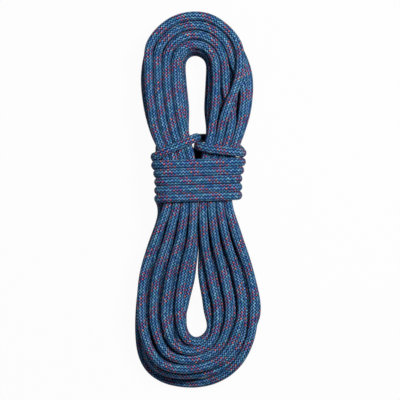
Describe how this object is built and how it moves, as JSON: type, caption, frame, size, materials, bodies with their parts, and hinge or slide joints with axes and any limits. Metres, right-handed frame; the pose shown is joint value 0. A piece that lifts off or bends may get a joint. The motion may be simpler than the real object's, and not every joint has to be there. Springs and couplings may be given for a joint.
{
  "type": "dynamic climbing rope",
  "caption": "Kernmantle climbing rope put away as a flat hank: long turns held at the waist by wraps and locked by a bight through the upper loop, with sleeved and fused ends.",
  "frame": {"origin": "on the ground, under the middle of the hank's box, with the hank lying on its back", "axes": "+Y along the hank towards its shorter upper loop, which hangs it up, +Z away from the ground, and +X to the right of someone who looks down on it with the upper loop at the top"},
  "size_m": [0.1416, 0.4216, 0.074],
  "materials": {
    "sheath": "blue woven polyamide with lighter blue and coral tracer yarns",
    "core": "undyed plied polyamide",
    "marker": "thin plain tape",
    "sleeve": "shrunk satin film",
    "seal": "fused polyamide"
  },
  "bodies": {
    "root": {"coil_turns": "sheath", "waist_wraps": "sheath", "locking_bight": "sheath", "sheath_end_a": "sheath", "sheath_end_b": "sheath", "core_strand_01": "core", "core_strand_02": "core", "core_strand_03": "core", "core_strand_04": "core", "core_strand_05": "core", "core_strand_06": "core", "core_strand_07": "core", "core_strand_08": "core", "core_strand_09": "core", "core_strand_10": "core", "core_strand_11": "core", "core_strand_12": "core", "marker_tape": "marker", "end_sleeve_a": "sleeve", "end_sleeve_b": "sleeve", "end_seal_a": "seal", "end_seal_b": "seal"}
  },
  "joints": []
}
